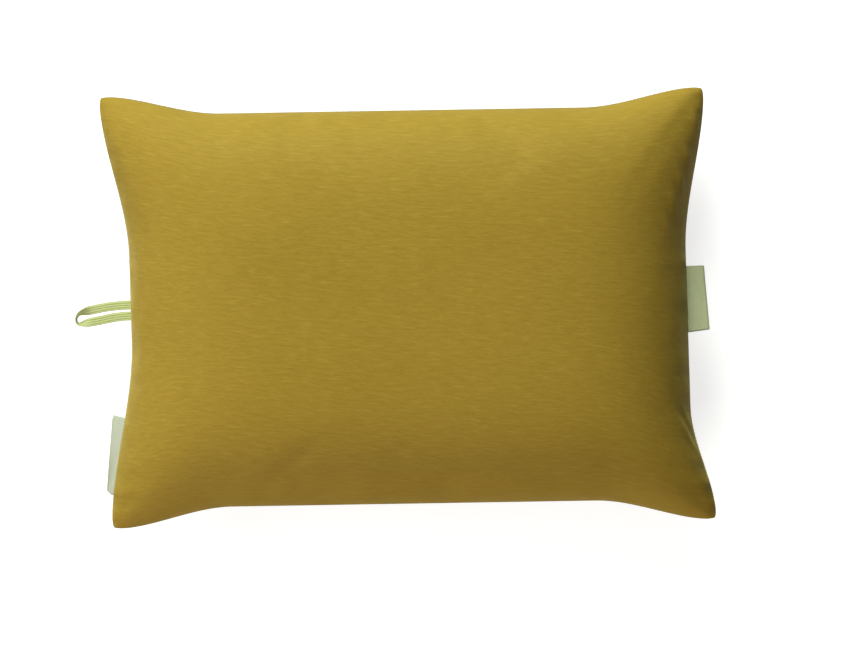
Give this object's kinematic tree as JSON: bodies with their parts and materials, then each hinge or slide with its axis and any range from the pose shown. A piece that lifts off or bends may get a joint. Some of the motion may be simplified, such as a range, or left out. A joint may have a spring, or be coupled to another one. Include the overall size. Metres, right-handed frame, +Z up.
{
  "type": "camp pillow",
  "caption": "Crowned knife-edge camp pillow: knit cover with zipped back, foam-topped air cell with a flat valve, ribbon hanging loop and plain side labels.",
  "frame": {"origin": "middle of the flat patch the pillow rests on", "axes": "+Z up out of the sleeping face, +X along the long side towards the right-hand label, +Y along the short side towards the plain long edge"},
  "size_m": [0.4004, 0.2748, 0.0791],
  "materials": {
    "cover_knit": "brushed mustard knit with fine horizontal slubs",
    "foam": "open-cell comfort foam",
    "air_film": "thermoplastic film laminated to a thin woven face",
    "zip_tape": "woven polyester tape",
    "zip_coil": "nylon coil",
    "zip_metal": "satin painted die casting",
    "zip_pull": "moulded tab",
    "valve_body": "moulded soft thermoplastic",
    "valve_silicone": "translucent silicone",
    "ribbon": "ribbed pale green ribbon",
    "label_sage": "woven sage label"
  },
  "bodies": {
    "pillow": {"cover_front_panel": "cover_knit", "cover_back_panel": "cover_knit", "cover_back_flap": "cover_knit", "seam_allowance": "cover_knit", "valve_port_binding": "cover_knit", "foam_pad": "foam", "air_cell_front": "air_film", "air_cell_back": "air_film", "baffle_left": "air_film", "baffle_middle": "air_film", "baffle_right": "air_film", "zip_tape_lower": "zip_tape", "zip_tape_upper": "zip_tape", "zip_coil_lower": "zip_coil", "zip_coil_upper": "zip_coil", "zip_end_stops": "zip_coil", "valve_base": "valve_body", "hang_loop_sewn_ends": "ribbon"},
    "loop": {"hang_loop": "ribbon"},
    "left_label": {"left_label": "label_sage"},
    "right_label": {"right_label": "label_sage"},
    "slider": {"zip_slider": "zip_metal"},
    "pull": {"zip_pull": "zip_pull"},
    "plug": {"valve_plug": "valve_body", "valve_membrane": "valve_silicone"},
    "cap": {"valve_cap": "valve_body"}
  },
  "joints": [
    {"name": "hang_loop_flop", "type": "hinge", "parent": "pillow", "child": "loop", "pos_m": [-0.17451, 0.0027, 0.035], "axis": [0, 1, 0], "range_deg": [-55, 60]},
    {"name": "left_label_flop", "type": "hinge", "parent": "pillow", "child": "left_label", "pos_m": [-0.18453, -0.08914, 0.035], "axis": [0.1836, 0.983, 0], "range_deg": [-50, 50]},
    {"name": "right_label_flop", "type": "hinge", "parent": "pillow", "child": "right_label", "pos_m": [0.17608, 0.00123, 0.035], "axis": [0.0066, -1, 0], "range_deg": [-60, 60]},
    {"name": "zip_slide", "type": "slide", "parent": "pillow", "child": "slider", "axis": [1, 0, 0], "range_m": [-0.14, 0]},
    {"name": "zip_pull_swing", "type": "hinge", "parent": "slider", "child": "pull", "pos_m": [0.07072, -0.09964, 0.00613], "axis": [0, -0.8979, 0.4402], "range_deg": [0, 160]},
    {"name": "valve_plug_open", "type": "hinge", "parent": "pillow", "child": "plug", "pos_m": [-0.15557, 0.08114, 0.01038], "axis": [0, 0.9951, 0.0992], "range_deg": [0, 100]},
    {"name": "valve_cap_open", "type": "hinge", "parent": "plug", "child": "cap", "pos_m": [-0.13137, 0.08185, 0.00326], "axis": [0, -0.9951, -0.0992], "range_deg": [0, 150]}
  ]
}
